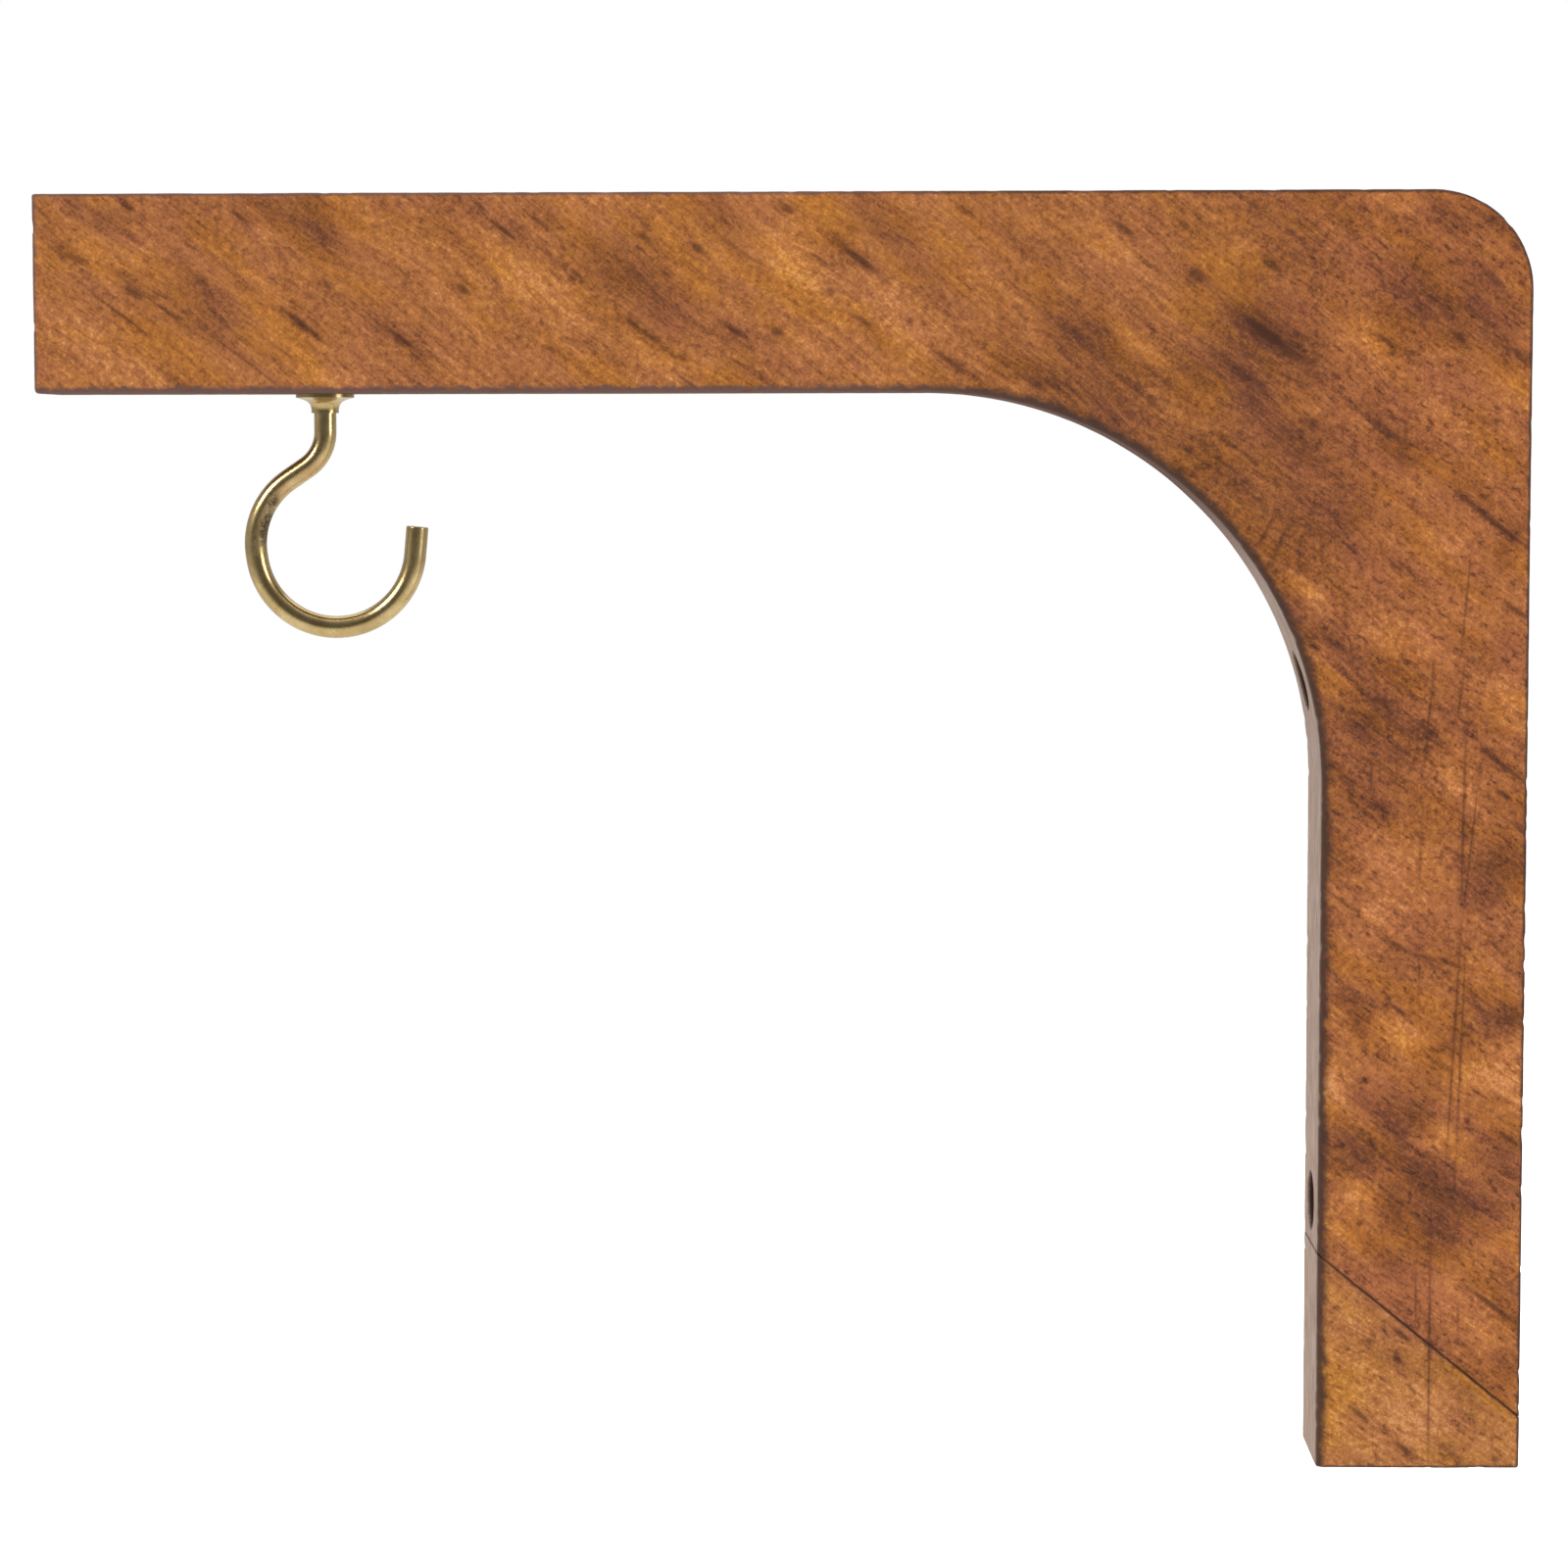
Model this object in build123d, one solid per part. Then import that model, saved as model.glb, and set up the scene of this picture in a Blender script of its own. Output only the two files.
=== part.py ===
from build123d import *
import math
import os

# An L-shaped wall bracket of stained wood with a brass cup hook under the free end of its arm.
# The wall face of the upright is the plane X = 0, the arm reaches out along -X, and Z is up.
# The origin lies on the wall face, midway between the two screw holes and in the middle of the board.

# Driving dimensions of the board
BOARD_THICKNESS = 19.0
ARM_REACH = 210.0
ARM_HEIGHT = 28.0
BRACKET_HEIGHT = 181.0
UPRIGHT_WIDTH = 29.0
INNER_CURVE_RADIUS = 55.5
OUTER_CURVE_RADIUS = 14.0
INNER_EDGE_ROUND = 1.0
OUTER_EDGE_ROUND = 0.5

# The glue line between the board's two staves, where it leaves the inner edge and the wall edge
GLUE_LINE_RISE_INNER = 31.0
GLUE_LINE_RISE_WALL = 7.4

# Screw holes, measured down from the top of the arm
UPPER_SCREW_DROP = 69.0
SCREW_SPACING = 75.0
SCREW_HOLE_RADIUS = 2.25
COUNTERBORE_RADIUS = 4.3
WOOD_UNDER_SCREW_HEAD = 10.0

# How far the bodies that are cut away or kept reach past the wood
CUT_MARGIN = 40.0

# Cup hook: a wire that is bent once away from the shank and then round the bowl
HOOK_FROM_ARM_END = 39.8
WIRE_RADIUS = 1.58
THREAD_ROOT_RADIUS = 1.2
THREAD_CREST_RADIUS = 1.65
THREAD_PITCH = 1.5
THREAD_TURNS = 6
THREAD_FLANK_WIDTH = 0.7
PLAIN_SHANK_IN_WOOD = 1.5
POINT_LENGTH = 2.0
POINT_TIP_RADIUS = 0.3
THREAD_RIDGE_FOOT_RADIUS = 1.08
PILOT_HOLE_RADIUS = 1.8
PILOT_HOLE_DEPTH = 14.5
TIP_EASE = 0.2
# Each bend is the straight run before it, its centreline radius, and its turn in degrees,
# positive to the left when looking along the wire from the shank to the tip
WIRE_BENDS = (
    (5.3, 6.2, -55.7),
    (3.2, 11.0, 64.5),
    (0.6, 11.4, 166.0),
)
TIP_RUN = 4.0

# Pressed collar between the hook's first bend and the arm
COLLAR_RIM_RADIUS = 4.15
COLLAR_RIM_THICKNESS = 0.5
COLLAR_HEIGHT = 2.7
COLLAR_NECK_RADIUS = 1.95
COLLAR_NECK_LENGTH = 0.4
COLLAR_BORE_RADIUS = 1.68
FLARE_SLOPE_AT_RIM = 0.25

# Heights that follow from the driving dimensions
ARM_TOP = UPPER_SCREW_DROP + SCREW_SPACING / 2
ARM_UNDERSIDE = ARM_TOP - ARM_HEIGHT
FOOT = ARM_TOP - BRACKET_HEIGHT
HOOK_X = HOOK_FROM_ARM_END - ARM_REACH
THREAD_LENGTH = THREAD_PITCH * THREAD_TURNS
SCREW_HEIGHTS = (SCREW_SPACING / 2, -SCREW_SPACING / 2)


def bracket_profile():
    """The outline of the whole bracket in the XZ plane."""
    inner_x = -UPRIGHT_WIDTH
    outline = Polyline(
        (-ARM_REACH, ARM_TOP),
        (0, ARM_TOP),
        (0, FOOT),
        (inner_x, FOOT),
        (inner_x, ARM_UNDERSIDE),
        (-ARM_REACH, ARM_UNDERSIDE),
        close=True,
    )
    face = make_face(outline)
    corner_rounds = (
        ((0, ARM_TOP), OUTER_CURVE_RADIUS),
        ((inner_x, ARM_UNDERSIDE), INNER_CURVE_RADIUS),
    )
    for (x, z), radius in corner_rounds:
        corner = face.vertices().sort_by_distance((x, z, 0))[0]
        face = fillet(corner, radius)
    return face


def on_inner_side(edge):
    """Whether a long edge of the board borders the underside, the curve or the upright's inner face."""
    middle = edge @ 0.5
    below_arm_top = middle.Z < ARM_TOP - ARM_HEIGHT / 2
    off_the_wall = middle.X < -UPRIGHT_WIDTH / 2
    clear_of_the_ends = middle.X > OUTER_EDGE_ROUND - ARM_REACH and middle.Z > FOOT + OUTER_EDGE_ROUND
    return below_arm_top and off_the_wall and clear_of_the_ends


def on_square_corner(edge):
    """Whether an edge across the board is one of the square corners at its two ends."""
    middle = edge @ 0.5
    return middle.X == -ARM_REACH or middle.Z == FOOT


def eased_board():
    """The bracket before it is cut at the glue line, its long edges eased."""
    upright_plane = Plane(origin=(0, BOARD_THICKNESS / 2, 0), x_dir=(1, 0, 0), z_dir=(0, -1, 0))
    board = extrude(upright_plane * bracket_profile(), amount=BOARD_THICKNESS)
    side_edges = board.faces().filter_by(Axis.Y).edges()
    inner_edges = side_edges.filter_by(on_inner_side)
    board = fillet(inner_edges, INNER_EDGE_ROUND)
    side_edges = board.faces().filter_by(Axis.Y).edges()
    outer_edges = side_edges.filter_by(lambda edge: not on_inner_side(edge))
    end_corners = board.edges().filter_by(Axis.Y).filter_by(on_square_corner)
    return fillet(outer_edges + end_corners, OUTER_EDGE_ROUND)


def screw_hole(height):
    """A counterbored hole through the upright, for a screw that is driven towards the wall."""
    shank_hole = Cylinder(SCREW_HOLE_RADIUS, 2 * (UPRIGHT_WIDTH + CUT_MARGIN), rotation=(0, 90, 0))
    counterbore = Cylinder(
        COUNTERBORE_RADIUS,
        UPRIGHT_WIDTH + CUT_MARGIN,
        rotation=(0, 90, 0),
        align=(Align.CENTER, Align.CENTER, Align.MAX),
    )
    return Pos(0, 0, height) * (shank_hole + Pos(-WOOD_UNDER_SCREW_HEAD, 0, 0) * counterbore)


def pilot_hole():
    """The blind hole under the arm that the hook's shank is screwed into."""
    return Pos(HOOK_X, 0, ARM_UNDERSIDE) * Cylinder(
        PILOT_HOLE_RADIUS, PILOT_HOLE_DEPTH, align=(Align.CENTER, Align.CENTER, Align.MIN)
    )


def below_glue_line():
    """A block that holds everything of the upright below the glue line."""
    fall = (GLUE_LINE_RISE_INNER - GLUE_LINE_RISE_WALL) / UPRIGHT_WIDTH
    inner_x = -UPRIGHT_WIDTH - CUT_MARGIN
    outer_x = CUT_MARGIN
    wall_z = FOOT + GLUE_LINE_RISE_WALL
    side = Polyline(
        (outer_x, wall_z - outer_x * fall),
        (inner_x, wall_z - inner_x * fall),
        (inner_x, FOOT - CUT_MARGIN),
        (outer_x, FOOT - CUT_MARGIN),
        close=True,
    )
    return extrude(Plane.XZ * make_face(side), amount=BOARD_THICKNESS, both=True)


def drilled_board():
    """The whole bracket with its screw holes and the hook's pilot hole."""
    board = eased_board()
    for height in SCREW_HEIGHTS:
        board -= screw_hole(height)
    return board - pilot_hole()


def bracket_board():
    """The main stave: the arm, the curve and the upright down to the glue line."""
    return drilled_board() - below_glue_line()


def bracket_toe():
    """The lower stave: the end of the upright below the glue line."""
    return drilled_board() & below_glue_line()


def wire_path():
    """The wire's centreline, from the plain shank's start inside the arm round to the tip."""
    heading = -90.0
    start = Vector(HOOK_X, 0, ARM_UNDERSIDE + PLAIN_SHANK_IN_WOOD)
    lead_in = PLAIN_SHANK_IN_WOOD
    edges = []
    for run, radius, turn in WIRE_BENDS:
        along = Vector(math.cos(math.radians(heading)), 0, math.sin(math.radians(heading)))
        corner = start + along * (run + lead_in)
        edges.append(Line(start, corner))
        left = Vector(-along.Z, 0, along.X) * math.copysign(radius, turn)
        centre = corner + left
        bend_start = corner - centre
        middle = centre + bend_start.rotate(Axis.Y, -turn / 2)
        start = centre + bend_start.rotate(Axis.Y, -turn)
        edges.append(ThreePointArc(corner, middle, start))
        heading += turn
        lead_in = 0.0
    along = Vector(math.cos(math.radians(heading)), 0, math.sin(math.radians(heading)))
    edges.append(Line(start, start + along * TIP_RUN))
    return Wire(edges)


def hook_wire():
    """The plain round wire of the hook, its cut tip slightly eased."""
    path = wire_path()
    section = Plane(origin=path @ 0, z_dir=path % 0) * Circle(WIRE_RADIUS)
    wire = sweep(section, path=path)
    tip_rim = wire.edges().filter_by(GeomType.CIRCLE).sort_by_distance(path @ 1)[0]
    return fillet(tip_rim, TIP_EASE)


def thread_core():
    """The thread's root cylinder, with the screw's point on top."""
    thread_start = ARM_UNDERSIDE + PLAIN_SHANK_IN_WOOD
    upright = (Align.CENTER, Align.CENTER, Align.MIN)
    core = Pos(HOOK_X, 0, thread_start) * Cylinder(THREAD_ROOT_RADIUS, THREAD_LENGTH, align=upright)
    point = Cone(THREAD_ROOT_RADIUS, POINT_TIP_RADIUS, POINT_LENGTH, align=upright)
    return core + Pos(HOOK_X, 0, thread_start + THREAD_LENGTH) * point


def thread_ridge():
    """The rolled wood-screw thread: one right-hand ridge that sits a little into the root."""
    helix = Helix(
        pitch=THREAD_PITCH, height=THREAD_LENGTH - THREAD_PITCH, radius=THREAD_RIDGE_FOOT_RADIUS
    )
    half_width = THREAD_FLANK_WIDTH / 2
    section_plane = Plane(origin=helix @ 0, x_dir=(1, 0, 0), z_dir=helix % 0)
    section = section_plane * make_face(
        Polyline(
            (0, -half_width),
            (THREAD_CREST_RADIUS - THREAD_RIDGE_FOOT_RADIUS, 0),
            (0, half_width),
            close=True,
        )
    )
    ridge = sweep(section, path=helix, is_frenet=True)
    return Pos(HOOK_X, 0, ARM_UNDERSIDE + PLAIN_SHANK_IN_WOOD + THREAD_PITCH / 2) * ridge


def cup_hook():
    """The whole hook: bent wire, thread root and thread ridge as one solid."""
    return hook_wire() + thread_core() + thread_ridge()


def hook_collar():
    """The trumpet-shaped collar, turned about the shank, rim against the arm."""
    top = ARM_UNDERSIDE
    rim_bottom = top - COLLAR_RIM_THICKNESS
    bottom = top - COLLAR_HEIGHT
    neck_top = bottom + COLLAR_NECK_LENGTH
    flare = Spline(
        (COLLAR_RIM_RADIUS, rim_bottom),
        (COLLAR_NECK_RADIUS, neck_top),
        tangents=((-1, -FLARE_SLOPE_AT_RIM), (0, -1)),
    )
    outline = flare + Polyline(
        (COLLAR_NECK_RADIUS, neck_top),
        (COLLAR_NECK_RADIUS, bottom),
        (COLLAR_BORE_RADIUS, bottom),
        (COLLAR_BORE_RADIUS, top),
        (COLLAR_RIM_RADIUS, top),
        (COLLAR_RIM_RADIUS, rim_bottom),
    )
    half_section = Plane.XZ * make_face(outline)
    return Pos(HOOK_X, 0, 0) * revolve(half_section, Axis.Z)


os.makedirs("parts", exist_ok=True)
for build in (bracket_board, bracket_toe, cup_hook, hook_collar):
    export_step(build(), f"parts/{build.__name__}.step")
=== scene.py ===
import math

import bmesh
import bpy
import numpy as np
from mathutils import Matrix, Vector, noise


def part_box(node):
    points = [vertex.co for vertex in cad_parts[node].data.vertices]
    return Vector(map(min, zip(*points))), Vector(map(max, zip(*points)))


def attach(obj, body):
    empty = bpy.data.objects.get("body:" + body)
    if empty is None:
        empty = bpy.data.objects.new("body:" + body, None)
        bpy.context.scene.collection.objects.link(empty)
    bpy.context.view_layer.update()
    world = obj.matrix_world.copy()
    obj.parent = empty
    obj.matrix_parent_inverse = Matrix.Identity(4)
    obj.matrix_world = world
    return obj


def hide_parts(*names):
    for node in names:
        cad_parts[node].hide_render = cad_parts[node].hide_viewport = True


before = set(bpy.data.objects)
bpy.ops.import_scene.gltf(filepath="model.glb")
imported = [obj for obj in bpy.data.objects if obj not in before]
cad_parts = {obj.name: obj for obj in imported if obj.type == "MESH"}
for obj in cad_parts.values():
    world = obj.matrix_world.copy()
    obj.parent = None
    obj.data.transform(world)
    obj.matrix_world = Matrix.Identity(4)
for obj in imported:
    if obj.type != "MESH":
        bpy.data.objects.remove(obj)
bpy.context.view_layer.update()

MM = 0.001

# The board's shape, read from the frame where a box gives it
board_low, board_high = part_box("bracket_board")
toe_low, toe_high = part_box("bracket_toe")
collar_low, collar_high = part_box("hook_collar")
END_X, WALL_X = board_low.x, board_high.x
FRONT_Y, BACK_Y = board_low.y, board_high.y
TOP_Z, FOOT_Z = board_high.z, toe_low.z
UNDERSIDE_Z = collar_high.z
INNER_X = toe_low.x
GLUE_INNER_Z, GLUE_WALL_Z = toe_high.z, board_low.z
HOOK_X = (collar_low.x + collar_high.x) / 2
INNER_RADIUS = 55.5 * MM
OUTER_RADIUS = 14.0 * MM
INNER_ROUND = 1.0 * MM
OUTER_ROUND = 0.5 * MM
GLUE_ROUND = 0.1 * MM
INNER_CENTRE = (INNER_X - INNER_RADIUS, UNDERSIDE_Z - INNER_RADIUS)
OUTER_CENTRE = (WALL_X - OUTER_RADIUS, TOP_Z - OUTER_RADIUS)

# Holes
SCREW_HEIGHTS = (37.5 * MM, -37.5 * MM)
SCREW_HOLE_RADIUS = 2.25 * MM
COUNTERBORE_RADIUS = 4.3 * MM
WOOD_UNDER_HEAD = 10.0 * MM
PILOT_RADIUS = 1.8 * MM
PILOT_DEPTH = 14.5 * MM
PILOT_TIP_RADIUS = 0.2 * MM

# The cutters that drill them: how far they stand out of the wood, their facets and how uneven they are
CUTTER_REACH = 8 * MM
COUNTERBORE_REACH = 25 * MM
CUTTER_FACETS = 72
CUTTER_UNEVENNESS = 0.012
CUTTER_WAVES = 2

# Mesh spacing; the curve's stations stand closer together by this factor
STATION_STEP = 0.56 * MM
CURVE_FACTOR = 1.15
FRONT_COUNT = 76
BACK_COUNT = 34
SIDE_COUNT = 15
ROUND_COUNT = 4
CAP_COUNT = 14

# How much of an end's rounding also draws in the section's own corners, so that they never close up
KEPT_CORNER = 0.9

# A ray that is this near to parallel with a side of the board never meets it
PARALLEL = 1e-9

# Edges shorter than this are slivers left by the drilling
SLIVER = 0.004 * MM

# Faces that meet at more than this angle keep a sharp edge between them
SHARP_ANGLE = math.radians(42)

# The grain runs down to the right across the whole bracket
GRAIN_TILT = math.radians(37)


# -------- board meshes

def outer_point(angle):
    """Where a ray from the inner curve's centre meets the board's outer outline."""
    cx, cz = INNER_CENTRE
    dx, dz = math.cos(angle), math.sin(angle)
    reach_wall = (WALL_X - cx) / dx if dx > PARALLEL else math.inf
    reach_top = (TOP_Z - cz) / dz if dz > PARALLEL else math.inf
    reach = min(reach_wall, reach_top)
    x, z = cx + dx * reach, cz + dz * reach
    ox, oz = OUTER_CENTRE
    if x > ox and z > oz:
        along = (ox - cx) * dx + (oz - cz) * dz
        off_square = (ox - cx) ** 2 + (oz - cz) ** 2 - along ** 2
        reach = along + math.sqrt(OUTER_RADIUS ** 2 - off_square)
        x, z = cx + dx * reach, cz + dz * reach
    return x, z


def outline_stations():
    """Matching points on the inner and outer outline, from the arm's free end to the glue line."""
    cx, cz = INNER_CENTRE
    stations = []
    arm_steps = round((cx - END_X - OUTER_ROUND) / STATION_STEP)
    for i in range(arm_steps):
        x = END_X + OUTER_ROUND + (cx - END_X - OUTER_ROUND) * i / arm_steps
        stations.append(((x, UNDERSIDE_Z), (x, TOP_Z)))
    curve_steps = round(math.pi / 2 * INNER_RADIUS * CURVE_FACTOR / STATION_STEP)
    for i in range(curve_steps):
        angle = math.pi / 2 * (1 - i / curve_steps)
        inner = (cx + INNER_RADIUS * math.cos(angle), cz + INNER_RADIUS * math.sin(angle))
        stations.append((inner, outer_point(angle)))
    glue_inner, glue_wall = GLUE_INNER_Z + GLUE_ROUND, GLUE_WALL_Z + GLUE_ROUND
    upright_steps = round((cz - (glue_inner + glue_wall) / 2) / STATION_STEP)
    for i in range(upright_steps + 1):
        t = i / upright_steps
        inner = (INNER_X, cz + (glue_inner - cz) * t)
        stations.append((inner, (WALL_X, cz + (glue_wall - cz) * t)))
    return stations


def toe_stations():
    """Matching points on the inner and outer outline, from the glue line to the foot."""
    foot = FOOT_Z + OUTER_ROUND
    glue_inner, glue_wall = GLUE_INNER_Z - GLUE_ROUND, GLUE_WALL_Z - GLUE_ROUND
    steps = round((glue_inner - foot) / STATION_STEP)
    stations = []
    for i in range(steps + 1):
        t = i / steps
        inner = (INNER_X, glue_inner + (foot - glue_inner) * t)
        stations.append((inner, (WALL_X, glue_wall + (foot - glue_wall) * t)))
    return stations


def quarter(radius, start, steps):
    """Offsets from a square corner and outward normals, once round a quarter circle."""
    points = []
    for i in range(steps + 1):
        angle = start + math.pi / 2 * i / steps
        points.append((radius * math.cos(angle), radius * math.sin(angle), math.cos(angle), math.sin(angle)))
    return points


def section_template():
    """The board's rounded section as (share of width, offset across, y, normal across, normal y)."""
    rows = []
    across_inner, across_outer = INNER_ROUND, -OUTER_ROUND
    side_low, side_high = FRONT_Y + INNER_ROUND, BACK_Y - INNER_ROUND
    for i in range(1, SIDE_COUNT):
        rows.append((0.0, 0.0, side_high + (side_low - side_high) * i / SIDE_COUNT, -1.0, 0.0))
    for du, dy, nu, ny in quarter(INNER_ROUND, math.pi, ROUND_COUNT + 1):
        rows.append((0.0, across_inner + du, side_low + dy, nu, ny))
    for i in range(1, FRONT_COUNT):
        t = i / FRONT_COUNT
        rows.append((t, across_inner * (1 - t) + across_outer * t, FRONT_Y, 0.0, -1.0))
    side_low, side_high = FRONT_Y + OUTER_ROUND, BACK_Y - OUTER_ROUND
    for du, dy, nu, ny in quarter(OUTER_ROUND, -math.pi / 2, ROUND_COUNT):
        rows.append((1.0, across_outer + du, side_low + dy, nu, ny))
    for i in range(1, SIDE_COUNT):
        rows.append((1.0, 0.0, side_low + (side_high - side_low) * i / SIDE_COUNT, 1.0, 0.0))
    for du, dy, nu, ny in quarter(OUTER_ROUND, 0.0, ROUND_COUNT):
        rows.append((1.0, across_outer + du, side_high + dy, nu, ny))
    for i in range(1, BACK_COUNT):
        t = 1 - i / BACK_COUNT
        rows.append((t, across_inner * (1 - t) + across_outer * t, BACK_Y, 0.0, 1.0))
    side_high = BACK_Y - INNER_ROUND
    for du, dy, nu, ny in quarter(INNER_ROUND, math.pi / 2, ROUND_COUNT + 1):
        rows.append((0.0, across_inner + du, side_high + dy, nu, ny))
    return np.array(rows)


def section(station, template, inset=0.0, slide=(0.0, 0.0)):
    """One ring of points round the board and their outward normals, drawn in by inset and moved by slide."""
    inner = np.array(station[0])
    ray = np.array(station[1]) - inner
    width = np.linalg.norm(ray)
    ray = ray / width
    across = template[:, 0] * width + template[:, 1] - inset * template[:, 3]
    ring = np.zeros((len(template), 3))
    ring[:, 0] = inner[0] + ray[0] * across + slide[0]
    ring[:, 1] = template[:, 2] - inset * template[:, 4]
    ring[:, 2] = inner[1] + ray[1] * across + slide[1]
    normals = np.zeros_like(ring)
    normals[:, 0] = ray[0] * template[:, 3]
    normals[:, 1] = template[:, 4]
    normals[:, 2] = ray[1] * template[:, 3]
    return ring, normals


def closed_end(station, template, radius, heading):
    """Rings of one end of a stave: its rounding first, then shrinking copies down to the middle."""
    outwards = np.array((heading[0], 0.0, heading[1]))
    made = []
    for i in range(1, ROUND_COUNT + 1):
        angle = math.pi / 2 * i / ROUND_COUNT
        inset = KEPT_CORNER * radius * (1 - math.cos(angle))
        slide = (heading[0] * radius * math.sin(angle), heading[1] * radius * math.sin(angle))
        ring, normals = section(station, template, inset, slide)
        made.append((ring, normals * math.cos(angle) + outwards * math.sin(angle)))
    ring = made[-1][0]
    centre = ring.mean(axis=0)
    for i in range(1, CAP_COUNT):
        made.append((centre + (ring - centre) * (1 - i / CAP_COUNT), np.tile(outwards, (len(ring), 1))))
    return made


def add_piece(name, points, faces):
    mesh = bpy.data.meshes.new(name)
    mesh.from_pydata(points, [], faces)
    mesh.update()
    piece = bpy.data.objects.new(name, mesh)
    bpy.context.scene.collection.objects.link(piece)
    return piece


def stave(name, stations, start, end):
    """A closed and weathered stave; start and end are each the end's rounding and its outward heading."""
    template = section_template()
    rings = closed_end(stations[0], template, *start)[::-1]
    rings += [section(station, template) for station in stations]
    rings += closed_end(stations[-1], template, *end)
    points = np.vstack([ring for ring, normals in rings])
    normals = np.vstack([normals for ring, normals in rings])
    depths = np.array([wear_depth(Vector(point)) for point in points])
    points -= normals * depths[:, None]
    count = len(template)
    faces = []
    for i in range(len(rings) - 1):
        a, b = i * count, (i + 1) * count
        for k in range(count):
            n = (k + 1) % count
            faces.append((a + k, b + k, b + n, a + n))
    last = (len(rings) - 1) * count
    faces.append(tuple(range(count)))
    faces.append(tuple(last + k for k in range(count))[::-1])
    return add_piece(name, points.tolist(), faces)


def grain_frame(point):
    """A point in millimetres, turned so that its first coordinate runs along the grain."""
    x, y, z = point
    along = x * math.cos(GRAIN_TILT) - z * math.sin(GRAIN_TILT)
    across = x * math.sin(GRAIN_TILT) + z * math.cos(GRAIN_TILT)
    return along, y, across


def inner_distance(x, z):
    """How far a point lies from the inner outline, towards the outer one."""
    cx, cz = INNER_CENTRE
    return math.hypot(max(x - cx, 0.0), max(z - cz, 0.0)) - INNER_RADIUS


def outer_distance(x, z):
    """How far a point lies from the arm's top, the wall face and the corner between them."""
    ox, oz = OUTER_CENTRE
    return OUTER_RADIUS - math.hypot(max(x - ox, 0.0), max(z - oz, 0.0))


# Rough patches of curled grain, as (x, z, radius, depth) in millimetres; they fade out past the radius
ROUGH_PATCHES = (
    (-9.5, -34.5, 5.0, 0.10),
    (-12.0, -39.0, 4.5, 0.10),
    (-37.0, 86.0, 5.5, 0.08),
)
PATCH_FADE = 1.6

# The surface's wear: the sizes of its noises and their depths, all in millimetres
HOLLOW_SIZE = 34
HOLLOW_DEPTH = 0.05
FIBRE_SIZE = (9, 1.6, 0.9)
FIBRE_DEPTH = 0.035
CURL_SIZE = (1.1, 1.1, 2.2)
WORN_EDGE = 1.4
RUB_SIZE = (6, 4, 6)
RUB_DEPTH = 0.14
NICK_SIZE = (1.7, 2.5, 1.7)
NICK_SHIFT = (9, 0, 4)
NICK_RARITY = 0.28
NICK_DEPTH = 0.9


def noise_at(place, size, shift=(0, 0, 0)):
    """Smooth noise from -1 to 1 with features of that size along each axis."""
    stretched = Vector([coordinate / length for coordinate, length in zip(place, size)])
    return noise.noise(stretched + Vector(shift))


def rough_depth(place):
    """How deep the rough patches are at a place in millimetres."""
    x, y, z = place
    depth = 0.0
    for patch_x, patch_z, radius, deep in ROUGH_PATCHES:
        away = math.hypot(x - patch_x, z - patch_z) / radius
        if away < PATCH_FADE:
            curl = noise_at(place, CURL_SIZE)
            depth += deep * max(0.0, curl) * max(0.0, 1 - away / PATCH_FADE)
    return depth


def edge_wear(point, place):
    """How much the board's long edges are rubbed and nicked, in millimetres."""
    edge = min(
        inner_distance(point.x, point.z),
        outer_distance(point.x, point.z),
        point.x - END_X,
        point.z - FOOT_Z,
    ) / MM
    face = min(point.y - FRONT_Y, BACK_Y - point.y) / MM
    if edge >= WORN_EDGE or face >= WORN_EDGE:
        return 0.0
    near = (1 - edge / WORN_EDGE) * (1 - face / WORN_EDGE)
    rub = 0.5 + 0.5 * noise_at(place, RUB_SIZE)
    nick = max(0.0, noise_at(place, NICK_SIZE, NICK_SHIFT) - NICK_RARITY)
    return near * (RUB_DEPTH * rub + NICK_DEPTH * nick)


def wear_depth(point):
    """How far the surface lies below the planed one at a point: hollows, fibres, rough patches, dents."""
    place = tuple(coordinate / MM for coordinate in point)
    hollow = 0.5 + 0.5 * noise.noise(Vector(place) / HOLLOW_SIZE)
    fibre = abs(noise_at(grain_frame(place), FIBRE_SIZE))
    depth = HOLLOW_DEPTH * hollow + FIBRE_DEPTH * fibre
    depth += rough_depth(place)
    depth += edge_wear(point, place)
    return depth * MM


def round_cutter(name, profile, origin, axis):
    """A closed turned body: profile is (distance along the axis, radius)."""
    turn = Vector((0, 0, 1)).rotation_difference(Vector(axis)).to_matrix()
    points = []
    for distance, radius in profile:
        for k in range(CUTTER_FACETS):
            angle = 2 * math.pi * k / CUTTER_FACETS
            across, up = math.cos(angle), math.sin(angle)
            seen = Vector((across * CUTTER_WAVES, up * CUTTER_WAVES, distance / MM))
            ragged = 1 + CUTTER_UNEVENNESS * noise.noise(seen)
            local = Vector((radius * ragged * across, radius * ragged * up, distance))
            points.append(Vector(origin) + turn @ local)
    faces = []
    for i in range(len(profile) - 1):
        a, b = i * CUTTER_FACETS, (i + 1) * CUTTER_FACETS
        for k in range(CUTTER_FACETS):
            n = (k + 1) % CUTTER_FACETS
            faces.append((a + k, a + n, b + n, b + k))
    last = (len(profile) - 1) * CUTTER_FACETS
    faces.append(tuple(range(CUTTER_FACETS))[::-1])
    faces.append(tuple(last + k for k in range(CUTTER_FACETS)))
    return add_piece(name, points, faces)


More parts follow.
